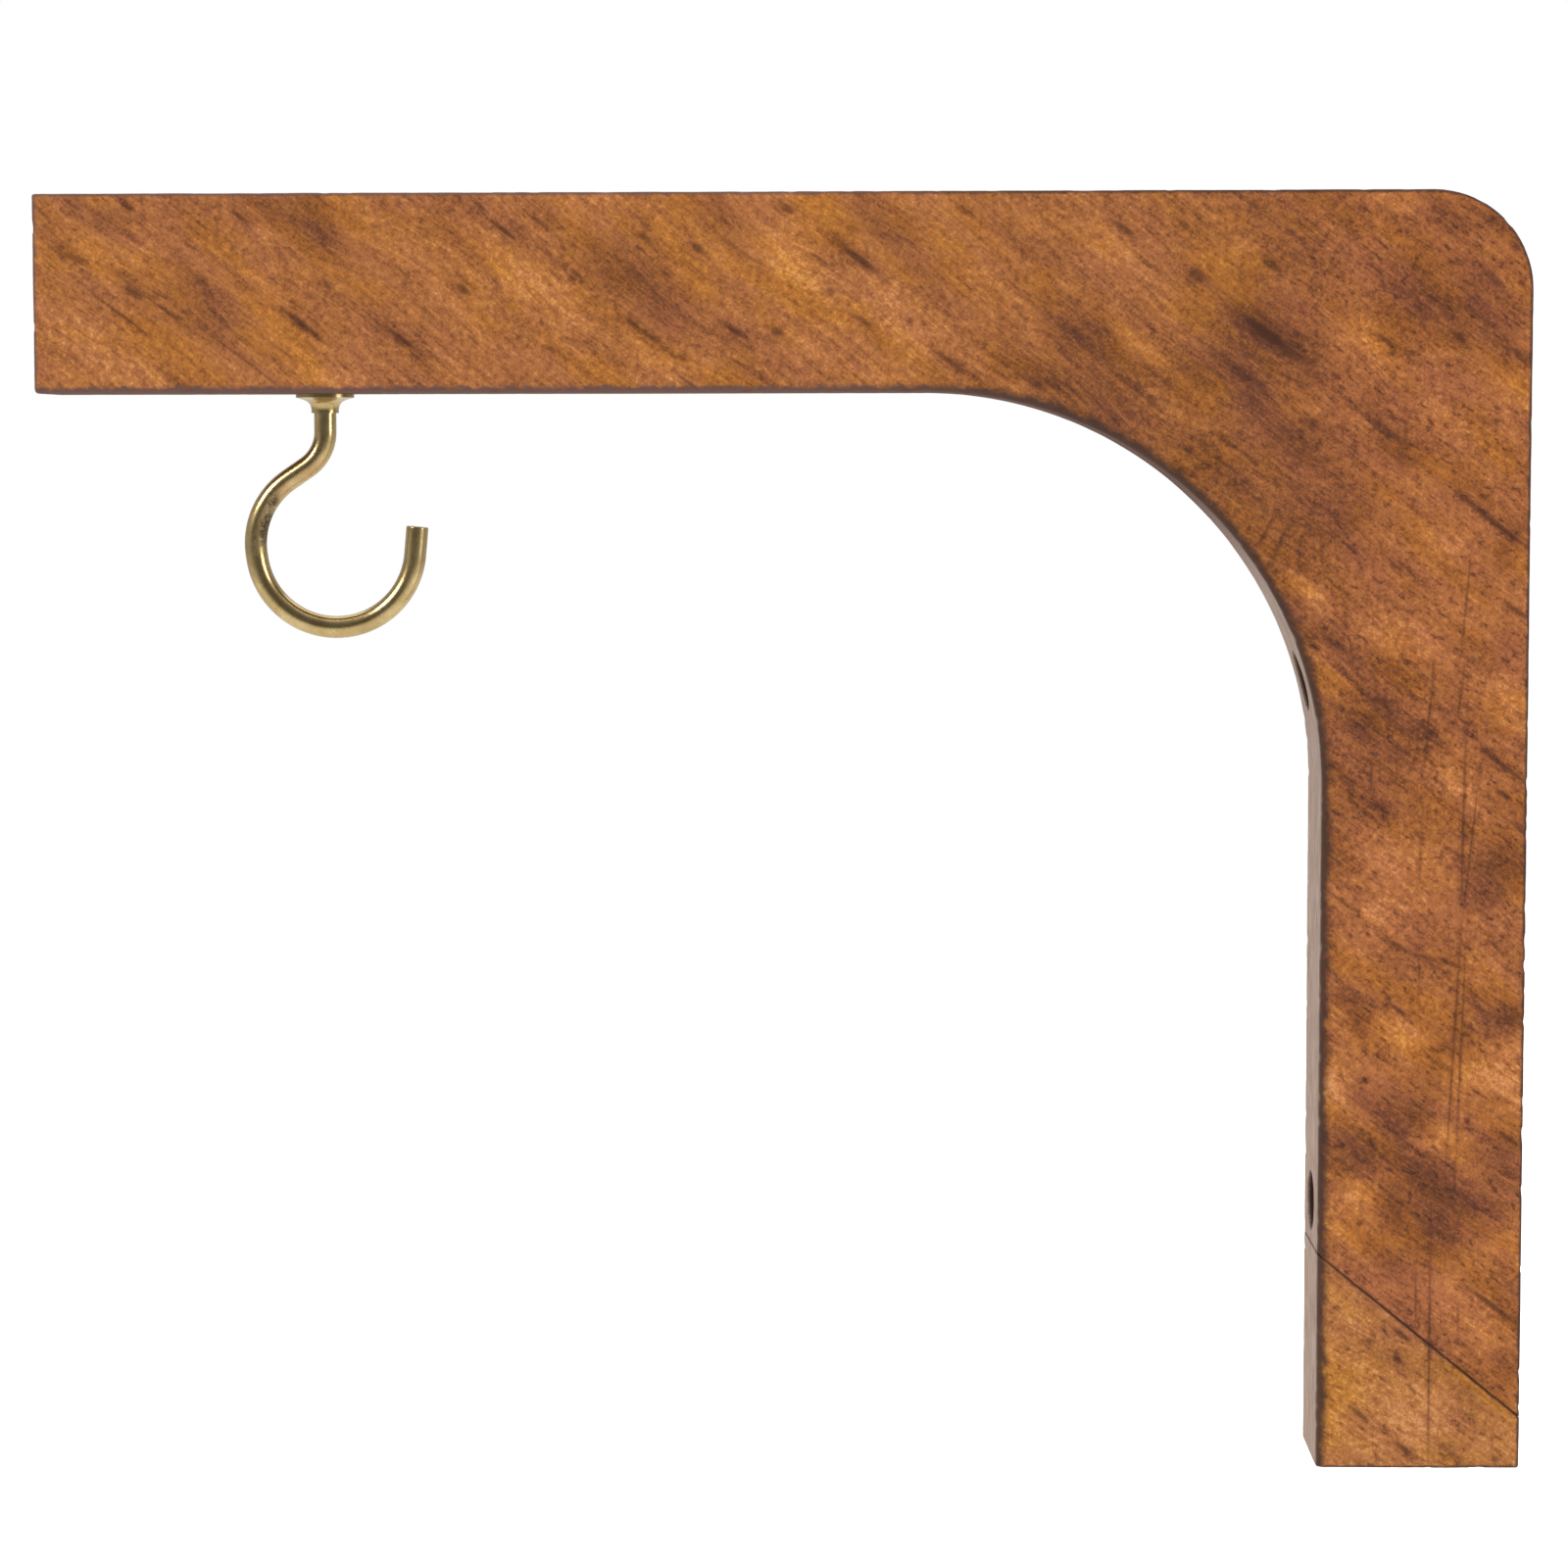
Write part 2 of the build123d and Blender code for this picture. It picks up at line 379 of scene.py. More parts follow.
def hole_cutters():
    """Cutters for both counterbored screw holes and the hook's pilot hole."""
    cutters = []
    screw_profile = (
        (-CUTTER_REACH, SCREW_HOLE_RADIUS),
        (WOOD_UNDER_HEAD, SCREW_HOLE_RADIUS),
        (WOOD_UNDER_HEAD, COUNTERBORE_RADIUS),
        (-INNER_X + COUNTERBORE_REACH, COUNTERBORE_RADIUS),
    )
    for index, height in enumerate(SCREW_HEIGHTS):
        cutters.append(round_cutter(f"screw_cutter_{index}", screw_profile, (WALL_X, 0, height), (-1, 0, 0)))
    pilot_profile = (
        (-CUTTER_REACH, PILOT_RADIUS),
        (PILOT_DEPTH - PILOT_RADIUS, PILOT_RADIUS),
        (PILOT_DEPTH, PILOT_TIP_RADIUS),
    )
    cutters.append(round_cutter("pilot_cutter", pilot_profile, (HOOK_X, 0, UNDERSIDE_Z), (0, 0, 1)))
    return cutters


def drill(piece, cutters):
    """Subtracts every cutter from the piece, clears the slivers and deletes the cutters."""
    for cutter in cutters:
        cut = piece.modifiers.new("hole", "BOOLEAN")
        cut.operation = "DIFFERENCE"
        cut.solver = "EXACT"
        cut.object = cutter
    graph = bpy.context.evaluated_depsgraph_get()
    drilled = bpy.data.meshes.new_from_object(piece.evaluated_get(graph))
    piece.modifiers.clear()
    surface = bmesh.new()
    surface.from_mesh(drilled)
    bmesh.ops.dissolve_degenerate(surface, dist=SLIVER, edges=surface.edges)
    bmesh.ops.triangulate(surface, faces=surface.faces, quad_method="SHORT_EDGE", ngon_method="BEAUTY")
    surface.to_mesh(drilled)
    surface.free()
    piece.data = drilled
    for cutter in cutters:
        bpy.data.objects.remove(cutter)


def shade(piece):
    """Smooth shading that keeps the rims of the holes sharp."""
    for polygon in piece.data.polygons:
        polygon.use_smooth = True
    piece.data.set_sharp_from_angle(angle=SHARP_ANGLE)


# -------- marks in the wood

# Streaks along the front face's grain, in millimetres: (x, drop below the arm's top, length, width, strength)
STREAKS = (
    (-172.5, 18, 5.0, 1.0, 0.85), (-158, 20.5, 6.5, 0.9, 0.8), (-180.5, 3.5, 3.0, 0.8, 0.7),
    (-196.5, 2, 2.2, 0.7, 0.6), (-204.5, 1.5, 3.2, 0.6, 0.5), (-204, 9, 3.4, 1.2, 0.5),
    (-195.5, 14, 3.4, 1.5, 0.6), (-197.5, 17, 12, 0.45, 0.5), (-192.5, 15.5, 15, 0.45, 0.4),
    (-180, 23.5, 15, 0.45, 0.4), (-143.5, 5.5, 4.2, 0.8, 0.75), (-139, 4, 2.4, 0.7, 0.55),
    (-124, 6.5, 2.8, 0.8, 0.6), (-121, 11.5, 2.0, 0.7, 0.5), (-116.5, 8, 2.4, 1.2, 0.7),
    (-133.5, 11.5, 2.2, 0.7, 0.55), (-149.5, 13.5, 2.6, 1.2, 0.7), (-125.5, 18.5, 3.2, 0.8, 0.7),
    (-123.5, 20, 3.0, 0.9, 0.6), (-137, 22, 2.0, 0.7, 0.45), (-111.5, 19.5, 3.0, 0.9, 0.65),
    (-105.5, 19.5, 2.0, 1.2, 0.7), (-118, 26.5, 4.2, 0.6, 0.55), (-104, 2.5, 2.0, 1.2, 0.6),
    (-147, 2, 2.8, 0.7, 0.5), (-111, 8, 7.0, 0.7, 0.35), (-94, 9.5, 7.6, 1.2, 0.85),
    (-98, 14, 1.6, 1.2, 0.5), (-93.5, 18, 3.6, 0.8, 0.55), (-87, 18, 1.4, 1.0, 0.5),
    (-81, 24, 6.0, 0.9, 0.7), (-94.5, 23.5, 2.6, 0.7, 0.4), (-57, 5.5, 4.6, 1.2, 0.7),
    (-47, 12, 3.4, 1.5, 0.65), (-69, 27, 1.4, 1.2, 0.6), (-55, 28, 7.0, 0.7, 0.5),
    (-36.5, 10.5, 3.0, 1.5, 0.75), (-37, 20, 9.0, 1.5, 0.95), (-20.5, 21, 3.4, 0.9, 0.5),
    (-10.5, 20.5, 2.6, 0.9, 0.5), (-2, 23, 5.0, 0.9, 0.55), (-26.5, 4.5, 2.4, 1.2, 0.4),
    (-30.5, 32.5, 1.6, 1.5, 0.65), (-19.5, 34, 5.0, 0.9, 0.5), (-5, 46.5, 11.5, 0.9, 0.7),
    (-1.5, 59, 3.0, 0.9, 0.65), (-27, 63.5, 5.2, 0.9, 0.6), (-20.5, 71.5, 3.4, 1.7, 0.6),
    (-22.5, 74, 2.4, 0.7, 0.45), (-14, 75.5, 5.0, 0.9, 0.7), (-3.5, 80.5, 6.8, 0.9, 0.7),
    (-3.5, 84.5, 3.2, 0.9, 0.6), (-20.5, 86.5, 2.8, 1.0, 0.65), (-15, 90.5, 2.4, 0.9, 0.6),
    (-25.5, 100, 5.6, 0.6, 0.5), (-2, 133.5, 3.2, 0.7, 0.65), (-18, 115, 3.8, 0.7, 0.55),
    (-4, 157.5, 10, 0.9, 0.75), (-17, 161.5, 4.2, 0.9, 0.6), (-17.5, 165, 1.6, 0.9, 0.65),
    (-23, 173, 4.0, 0.9, 0.65), (-16.5, 178, 4.0, 0.9, 0.7), (-3.5, 179.5, 1.4, 1.2, 0.6),
    (-22.5, 125, 0.9, 0.9, 0.85), (-21.5, 162.5, 1.1, 1.0, 0.55), (-10, 178.5, 7.5, 1.1, 0.4),
)

# Soft dark patches, in the same form
CLOUDS = (
    (-171, 4, 14, 5, 0.55), (-186, 15, 15, 7, 0.45), (-200, 5, 9, 4, 0.4), (-126, 12, 16, 5, 0.45),
    (-113, 3, 12, 5, 0.45), (-89, 7, 17, 6, 0.45), (-73, 6, 15, 5, 0.45), (-62, 20, 13, 5, 0.45),
    (-66, 26, 18, 6, 0.4), (-37, 19.5, 14, 9, 0.5), (-12, 4, 10, 4, 0.5), (-6, 5, 5, 3, 0.5),
    (-11, 16, 15, 9, 0.6), (-6, 18, 8, 5, 0.55), (-5, 22, 10, 4, 0.5), (-41, 27, 13, 5, 0.5),
    (-33, 35, 10, 5, 0.45), (-24, 45, 16, 7, 0.35), (-24, 76, 8, 3, 0.45), (-4, 95, 6, 11, 0.6),
    (-24, 114, 6, 4, 0.7), (-3, 116, 6, 5, 0.7), (-18, 130, 9, 7, 0.65), (-12, 122, 6, 10, 0.45),
    (-23, 136, 8, 7, 0.6), (-6, 130, 5, 8, 0.45), (-3, 137, 10, 4, 0.5), (-10, 141, 13, 6, 0.7),
    (-12, 146, 10, 9, 0.7), (-18, 144, 7, 6, 0.55), (-17, 152, 10, 7, 0.5), (-3, 168, 6, 7, 0.55),
    (-4, 63, 6, 8, 0.35), (-2, 48, 4, 12, 0.45), (-17, 38, 12, 5, 0.35),
)

# Soft light patches, in the same form
LIGHTS = (
    (-139, 13, 18, 7, 0.5), (-122, 24, 12, 5, 0.45), (-102, 12, 15, 5, 0.5), (-87, 18, 18, 6, 0.55),
    (-56, 20, 12, 5, 0.5), (-23, 22, 10, 4, 0.5), (-13, 30, 10, 4, 0.5), (-39, 9, 12, 5, 0.45),
    (-31, 56, 8, 3, 0.6), (-19, 63, 8, 5, 0.5), (-51, 30, 10, 4, 0.45), (-29, 66, 6, 3, 0.6),
    (-4, 70, 8, 4, 0.5), (-10, 84, 10, 5, 0.5), (-18, 96, 9, 9, 0.6), (-27, 69, 7, 4, 0.5),
    (-18, 119, 9, 4, 0.6), (-26, 126, 4, 6, 0.6), (-5, 125, 8, 9, 0.6), (-12, 134, 8, 5, 0.5),
    (-23, 141, 7, 6, 0.55), (-200, 23, 18, 6, 0.3),
)

# Scratches down the upright and small cracks, as (x, drop, length, width, degrees from upright, strength)
SCRATCHES = (
    (-37, 47.5, 5.5, 0.5, 26, 0.8), (-35, 49, 4.8, 0.6, 23, 0.9), (-168.5, 13, 2.4, 0.7, -29, 0.9),
    (-9, 58, 16, 0.4, 5, 0.7), (-9.5, 70, 9, 0.5, 6, 0.7), (-14, 74, 14, 0.4, 5, 0.8),
    (-9, 88, 29, 0.5, 1, 0.85), (-8, 93, 22, 0.4, 6, 0.75), (-22, 82, 4, 0.5, 0, 0.7),
    (-15, 93, 8, 0.4, 0, 0.6), (-10, 120, 36, 0.5, 3, 0.85), (-9, 121, 37, 0.4, 2, 0.75),
    (-15, 109, 8, 0.4, 0, 0.6), (-13, 165, 34, 0.5, 0, 0.85), (-15, 156, 9, 0.4, 0, 0.7),
    (-9, 159, 5, 0.4, 0, 0.6), (-18, 106, 4.2, 0.8, -58, 1.0), (-14.5, 107.5, 5.2, 0.8, -73, 1.0),
    (-10.5, 108.5, 4.4, 0.8, -67, 1.0), (-12.5, 109, 6, 0.5, -66, 0.7),
)

# A soft patch reaches this far into the wood, and its outline wanders by a noise of this size and amount
PATCH_DEPTH = 6.0
WANDER_SIZE = 7.0
WANDER_AMOUNT = 2.2
WANDER_SEED = 4

# Scratches show less than streaks of the same strength
SCRATCH_SHARE = 0.6

# Crisp marks of one group lie further apart than the spacing, measured between points along their lengths
MARK_SPACING = 6.0
MARK_POINTS = 15

# How far round a crisp mark its coordinates are kept, where it fades out and how deep it goes
MARK_REACH = 4.0
MARK_FADE = (1.0, 2.2)
MARK_DEPTH = 1.5


def vertex_places(mesh):
    """Every vertex's place in millimetres."""
    flat = np.zeros(len(mesh.vertices) * 3, np.float32)
    mesh.vertices.foreach_get("co", flat)
    return flat.reshape(-1, 3).astype(float) / MM


def wander(points):
    """The points, each moved a little by a smooth noise."""
    noise.seed_set(WANDER_SEED)
    moved = points.copy()
    for row in moved:
        row += np.array(noise.noise_vector(Vector(row) / WANDER_SIZE)) * WANDER_AMOUNT
    return moved


def mark_axes(points, x, z, turn):
    """Every point's distances from a mark's middle, along the mark and beside it."""
    across = points[:, 0] - x
    up = points[:, 2] - z
    along = across * math.cos(turn) - up * math.sin(turn)
    beside = across * math.sin(turn) + up * math.cos(turn)
    return along, beside


def nearness(points, x, drop, length, width):
    """1 at a soft patch's middle, a half at its outline and 0 well outside it, for every point."""
    along, beside = mark_axes(points, x, TOP_Z / MM - drop, GRAIN_TILT)
    along = along * 2 / length
    beside = beside * 2 / width
    depth = (points[:, 1] - FRONT_Y / MM) / PATCH_DEPTH
    return np.clip(1 - np.sqrt(along ** 2 + beside ** 2 + depth ** 2) / 2, 0, 1)


def store_patches(piece):
    """Writes the front face's soft patches to the mesh, where the wood's material reads them."""
    loose = wander(vertex_places(piece.data))
    for name, patches in (("cloud", CLOUDS), ("light", LIGHTS)):
        field = np.zeros(len(loose))
        for x, drop, length, width, strength in patches:
            field = np.maximum(field, nearness(loose, x, drop, length, width) * strength)
        kept = piece.data.attributes.new(name, "FLOAT", "POINT")
        kept.data.foreach_set("value", field.astype(np.float32))


def crisp_marks():
    """Streaks and scratches alike, as (x, z, length, width, downward turn of the length, strength)."""
    marks = []
    for x, drop, length, width, strength in STREAKS:
        marks.append((x, TOP_Z / MM - drop, length, width, GRAIN_TILT, strength))
    for x, drop, length, width, lean, strength in SCRATCHES:
        turn = math.radians(90 + lean)
        marks.append((x, TOP_Z / MM - drop, length, width, turn, SCRATCH_SHARE * strength))
    return marks


def mark_line(mark):
    """Points along a mark's length."""
    x, z, length, width, turn, strength = mark
    steps = np.linspace(-length / 2, length / 2, MARK_POINTS)
    return np.stack((x + steps * math.cos(turn), z - steps * math.sin(turn)), axis=1)


def mark_gap(mark, other):
    """How near two marks come to each other."""
    return np.linalg.norm(mark_line(mark)[:, None] - mark_line(other)[None], axis=2).min()


def mark_groups():
    """The crisp marks, split so that marks of one group lie well apart."""
    groups = []
    for mark in crisp_marks():
        for group in groups:
            if min(mark_gap(mark, other) for other in group) > MARK_SPACING:
                group.append(mark)
                break
        else:
            groups.append([mark])
    return groups


MARK_GROUPS = mark_groups()


def store_crisp_marks(piece):
    """Writes each group's marks as (share of half length, share of half width, strength) per vertex."""
    points = vertex_places(piece.data)
    deep = points[:, 1] - FRONT_Y / MM
    fade_start, fade_end = MARK_FADE
    for index, group in enumerate(MARK_GROUPS):
        field = np.zeros((len(points), 3))
        for x, z, length, width, turn, strength in group:
            along, beside = mark_axes(points, x, z, turn)
            past_end = np.maximum(np.abs(along) - length / 2, 0)
            past_side = np.maximum(np.abs(beside) - width / 2, 0)
            outside = np.hypot(past_end, past_side)
            here = (outside < MARK_REACH) & (deep < MARK_REACH)
            fade = np.clip((fade_end - outside) / (fade_end - fade_start), 0, 1)
            fade *= np.clip(1 - deep / MARK_DEPTH, 0, 1)
            field[here, 0] = (along * 2 / length)[here]
            field[here, 1] = (beside * 2 / width)[here]
            field[here, 2] = (fade * strength)[here]
        kept = piece.data.attributes.new(f"marks_{index}", "FLOAT_VECTOR", "POINT")
        kept.data.foreach_set("vector", field.astype(np.float32).ravel())


# -------- material graphs

def srgb(red, green, blue):
    """A linear colour from 8-bit sRGB levels."""
    def linear(level):
        level = level / 255
        return level / 12.92 if level <= 0.04045 else ((level + 0.055) / 1.055) ** 2.4
    return (linear(red), linear(green), linear(blue), 1.0)


class Graph:
    """Adds nodes to one material's tree; a number or another node's output may go into any input."""

    def __init__(self, name):
        self.material = bpy.data.materials.new(name)
        self.material.use_nodes = True
        self.tree = self.material.node_tree
        self.tree.nodes.clear()

    def plug(self, socket, value):
        if isinstance(value, bpy.types.NodeSocket):
            self.tree.links.new(value, socket)
        else:
            socket.default_value = value

    def node(self, kind, inputs=(), **settings):
        made = self.tree.nodes.new(kind)
        for key, value in settings.items():
            setattr(made, key, value)
        for key, value in dict(inputs).items():
            self.plug(made.inputs[key], value)
        return made

    def math(self, operation, a, b=0.0):
        return self.node("ShaderNodeMath", {0: a, 1: b}, operation=operation).outputs[0]

    def add(self, *terms):
        total = terms[0]
        for term in terms[1:]:
            total = self.math("ADD", total, term)
        return total

    def minus(self, a, b):
        return self.math("SUBTRACT", a, b)

    def times(self, a, b):
        return self.math("MULTIPLY", a, b)

    def hypot(self, a, b):
        return self.math("SQRT", self.add(self.times(a, a), self.times(b, b)))

    def largest(self, values):
        largest = values[0]
        for value in values[1:]:
            largest = self.math("MAXIMUM", largest, value)
        return largest

    def swing(self, noise_value, amount):
        """How far a noise is from its middle, times the amount."""
        return self.times(self.minus(noise_value, 0.5), amount)

    def ramp(self, value, low, high, start=0.0, end=1.0):
        """Start below low and end above high, with a smooth passage between."""
        inputs = {"Value": value, "From Min": low, "From Max": high, "To Min": start, "To Max": end}
        return self.node("ShaderNodeMapRange", inputs, interpolation_type="SMOOTHSTEP").outputs["Result"]

    def fade(self, value, low, high, start=1.0):
        """Start below low and 0 above high."""
        return self.ramp(value, low, high, start, 0.0)

    def vector(self, operation, a, b=(0, 0, 0), scale=1.0):
        made = self.node("ShaderNodeVectorMath", operation=operation)
        self.plug(made.inputs[0], a)
        if operation == "SCALE":
            self.plug(made.inputs["Scale"], scale)
        elif operation != "LENGTH":
            self.plug(made.inputs[1], b)
        return made.outputs["Value"] if operation == "LENGTH" else made.outputs["Vector"]

    def millimetres(self):
        """The object's own coordinates in millimetres."""
        metres = self.node("ShaderNodeTexCoord").outputs["Object"]
        return self.vector("SCALE", metres, scale=1 / MM)

    def placed(self, vector, centre, tilt, size):
        """The vector seen from centre, turned by tilt about Y and divided by size."""
        inputs = {"Vector": vector, "Location": centre, "Rotation": (0, tilt, 0), "Scale": size}
        return self.node("ShaderNodeMapping", inputs, vector_type="TEXTURE").outputs["Vector"]

    def noise(self, vector, scale=1.0, detail=2.0, roughness=0.5, distortion=0.0):
        inputs = {
            "Vector": vector,
            "Scale": scale,
            "Detail": detail,
            "Roughness": roughness,
            "Distortion": distortion,
        }
        return self.node("ShaderNodeTexNoise", inputs)

    def fac(self, vector, scale=1.0, detail=2.0, roughness=0.5, distortion=0.0):
        return self.noise(vector, scale, detail, roughness, distortion).outputs[0]

    def moved(self, vector, scale, amount, detail, roughness=0.5):
        """The vector, moved about by a noise."""
        wobble = self.noise(vector, scale=scale, detail=detail, roughness=roughness).outputs["Color"]
        offset = self.vector("SCALE", self.vector("SUBTRACT", wobble, (0.5, 0.5, 0.5)), scale=amount)
        return self.vector("ADD", vector, offset)

    def stored(self, name, output="Fac"):
        """A number or a vector that the mesh holds at each point."""
        return self.node("ShaderNodeAttribute", attribute_name=name).outputs[output]

    def split(self, vector):
        """The three parts of a vector."""
        parts = self.node("ShaderNodeSeparateXYZ", {0: vector}).outputs
        return parts[0], parts[1], parts[2]

    def mix(self, fac, a, b, blend="MIX"):
        made = self.node("ShaderNodeMix", data_type="RGBA", blend_type=blend)
        self.plug(made.inputs[0], fac)
        self.plug(made.inputs[6], a)
        self.plug(made.inputs[7], b)
        return made.outputs[2]

    def colours(self, fac, stops):
        """A colour ramp from (place, colour) stops."""
        made = self.node("ShaderNodeValToRGB", {0: fac})
        ramp = made.color_ramp
        ramp.elements[0].position, ramp.elements[0].color = stops[0]
        ramp.elements[1].position, ramp.elements[1].color = stops[-1]
        for place, colour in stops[1:-1]:
            ramp.elements.new(place).color = colour
        return made.outputs["Color"]

    def bump(self, height, strength, distance):
        inputs = {"Strength": strength, "Distance": distance, "Height": height}
        return self.node("ShaderNodeBump", inputs).outputs["Normal"]

    def finish(self, inputs):
        """Makes the surface from a principled shader's inputs, and gives the material."""
        shader = self.node("ShaderNodeBsdfPrincipled", inputs)
        output = self.node("ShaderNodeOutputMaterial")
        self.tree.links.new(shader.outputs[0], output.inputs["Surface"])
        return self.material


# -------- wood

# Feature sizes of the wood's noises in millimetres: along the grain, into the board and across the grain
BROAD_GRAIN = (26, 14, 11)
CLOUDY_GRAIN = (9, 6, 5)
FIBRE_GRAIN = (16, 2.2, 1.3)
FINE_GRAIN = (3.2, 0.6, 0.36)
FLECK_GRAIN = (1.5, 0.9, 0.7)
PORE_GRAIN = (5.5, 2.0, 1.5)
HUE_GRAIN = (15, 8, 5.5)

# Saw lines run down the upright, and the sawn faces' fibres run through the board's thickness
SAW_LINE_SIZE = (0.30, 2.0, 14.0)
SAWN_FIBRE_SIZE = (5.0, 0.55, 5.0)

# Features per millimetre of the noises that don't follow the grain
SPECK_SCALE = 0.95
TINY_SCALE = 3.0
BARE_SPOT_SCALE = 3.6
UNEVEN_SCALE = 0.55

# The grain wanders by this much, with bends of this size, in millimetres
BEND_SIZE = 26
BEND_AMOUNT = 5.0

# Where the arm passes into the upright, the outer corner and the wood beside the inner curve, in millimetres
UPRIGHT_SPAN = (-45, -20)
CORNER_SPAN_X, CORNER_SPAN_Z = (-80, -40), (-25, 35)
CURVE_SPAN_X, CURVE_SPAN_Z = (-100, -62), (0, 40)
CURVE_BAND = (6, 26)

# The plain wood's tone and what each place and noise adds to it; a pair is for the arm and the upright
PLAIN_TONE = 0.61
CORNER_TONE = -0.05
CURVE_TONE = -0.14
UPRIGHT_TONE = 0.01
FLECK_TONE = (-0.10, -0.26)
BROAD_SWING = 0.42
CLOUDY_SWING = (0.35, 0.7)
FIBRE_SWING = (0.55, 0.4)
FINE_SWING = 0.62
SPECK_SWING = (1.05, 1.1)
TINY_SWING = 0.5
SAW_LINE_SWING = 0.12

# What the marks add to the tone
CLOUD_TONE = -0.30
LIGHT_TONE = 0.26
PORE_TONE = -0.28
GROUND_TONE = -0.16

WOOD_TONES = (
    (0.00, srgb(76, 41, 26)),
    (0.28, srgb(114, 66, 38)),
    (0.50, srgb(148, 90, 50)),
    (0.66, srgb(168, 106, 60)),
    (0.82, srgb(188, 122, 69)),
    (1.00, srgb(212, 150, 94)),
)
WOOD_CASTS = (
    (0.36, srgb(252, 246, 250)),
    (0.50, srgb(255, 252, 232)),
    (0.64, srgb(255, 250, 186)),
)
# Greys of the sawn faces: partly the raw, less stained wood, partly a painted sheen of the white surroundings
# seen at a grazing angle
SAWN_GREYS_AND_SHEEN = (
    (0.30, srgb(102, 86, 76)),
    (0.48, srgb(150, 132, 120)),
    (0.70, srgb(182, 165, 153)),
)
STREAK_COLOUR = srgb(66, 33, 18)
BARE_SPOT_COLOUR = srgb(226, 190, 150)
ARM_ARRIS_COLOUR = srgb(98, 70, 62)
UPRIGHT_ARRIS_COLOUR = srgb(64, 41, 31)
SHADED_SAWN_COLOUR = srgb(84, 58, 46)
# Painted shade for the sawn inner face high up in the inner curve
HOLE_COLOUR = srgb(64, 40, 28)
GLUE_COLOUR = srgb(66, 38, 26)

BUMP_DISTANCE = 0.12 * MM


class Wood:
    """One wood material's graph, with the places, distances and noises that its parts share."""

    def __init__(self, name):
        g = Graph(name)
        self.g = g
        self.millimetres = g.millimetres()
        self.bent = g.moved(self.millimetres, 1 / BEND_SIZE, BEND_AMOUNT, detail=1)
        self.x, self.y, self.z = g.split(self.millimetres)
        self.inner = g.minus(self.corner_length(INNER_CENTRE), INNER_RADIUS / MM)
        self.outer = g.minus(OUTER_RADIUS / MM, self.corner_length(OUTER_CENTRE))
        self.from_middle = g.math("ABSOLUTE", self.y)
        self.upright = g.ramp(self.x, *UPRIGHT_SPAN)
        self.cloudy = self.grain(self.bent, CLOUDY_GRAIN, (0, 7, 0), detail=3, roughness=0.55)
        self.fibre = self.grain(self.bent, FIBRE_GRAIN, detail=3, roughness=0.6)
        self.fine = self.grain(self.bent, FINE_GRAIN, (11, 11, 0), detail=3, roughness=0.65, distortion=0.3)
        self.speck = g.fac(self.millimetres, scale=SPECK_SCALE, detail=4, roughness=0.72)
        self.tiny = g.fac(self.millimetres, scale=TINY_SCALE, detail=1)
        self.unevenness = g.fac(self.millimetres, scale=UNEVEN_SCALE, detail=3, roughness=0.65)

    def corner_length(self, centre):
        """The distance from a rounded corner's centre, or from the lines that go straight on from it."""
        centre_x, centre_z = centre
        across = self.g.math("MAXIMUM", self.g.minus(self.x, centre_x / MM), 0.0)
        up = self.g.math("MAXIMUM", self.g.minus(self.z, centre_z / MM), 0.0)
        return self.g.hypot(across, up)

    def grain(self, place, size, shift=(0, 0, 0), detail=2.0, roughness=0.5, distortion=0.0):
        """Noise drawn out along the grain, with features of that size in millimetres."""
        seen = self.g.placed(place, shift, GRAIN_TILT, size)
        return self.g.fac(seen, detail=detail, roughness=roughness, distortion=distortion)

    def passing(self, on_arm, on_upright):
        """One value on the arm that passes into another on the upright."""
        return self.g.ramp(self.upright, 0, 1, on_arm, on_upright)

    def depth_ramp(self, start, end):
        """0 further than start from the front and back faces and 1 nearer than end, in millimetres."""
        half = -FRONT_Y / MM
        return self.g.ramp(self.from_middle, half - start, half - end)


def planed_tone(w, lift):
    """The unmarked wood's tone: 0 is the darkest of its colours and 1 the lightest."""
    g = w.g
    broad = w.grain(w.bent, BROAD_GRAIN, (3, 0, 0), detail=2)
    flecks = w.grain(w.millimetres, FLECK_GRAIN, (47, 47, 0), detail=2, roughness=0.6)
    flecks = g.ramp(flecks, 0.56, 0.70)
    saw_lines = g.fac(g.placed(w.millimetres, (0, 0, 0), 0.0, SAW_LINE_SIZE), detail=2, roughness=0.6)
    corner = g.times(g.ramp(w.x, *CORNER_SPAN_X), g.ramp(w.z, *CORNER_SPAN_Z))
    curve = g.times(g.ramp(w.x, *CURVE_SPAN_X), g.ramp(w.z, *CURVE_SPAN_Z))
    curve = g.times(curve, g.fade(w.inner, *CURVE_BAND))
    return g.add(
        PLAIN_TONE + lift,
        g.times(corner, CORNER_TONE),
        g.times(curve, CURVE_TONE),
        g.times(w.upright, UPRIGHT_TONE),
        g.times(flecks, w.passing(*FLECK_TONE)),
        g.swing(broad, BROAD_SWING),
        g.swing(w.cloudy, w.passing(*CLOUDY_SWING)),
        g.swing(w.fibre, w.passing(*FIBRE_SWING)),
        g.swing(w.fine, FINE_SWING),
        g.swing(w.speck, w.passing(*SPECK_SWING)),
        g.swing(w.tiny, TINY_SWING),
        g.times(g.swing(saw_lines, w.upright), SAW_LINE_SWING),
    )


def crisp_mark_masks(w):
    """How strongly the streaks and scratches show, and the soft darker ground round them."""
    g = w.g
    ragged = g.add(g.swing(w.fine, 0.7), g.swing(w.speck, 0.7))
    cores, grounds = [], []
    for index in range(len(MARK_GROUPS)):
        along, beside, strength = g.split(g.stored(f"marks_{index}", "Vector"))
        away = g.add(g.hypot(along, beside), g.times(ragged, -0.9))
        cores.append(g.times(g.fade(away, 0.35, 1.25), strength))
        grounds.append(g.times(g.fade(away, 0.7, 3.2), strength))
    return g.largest(cores), g.largest(grounds)


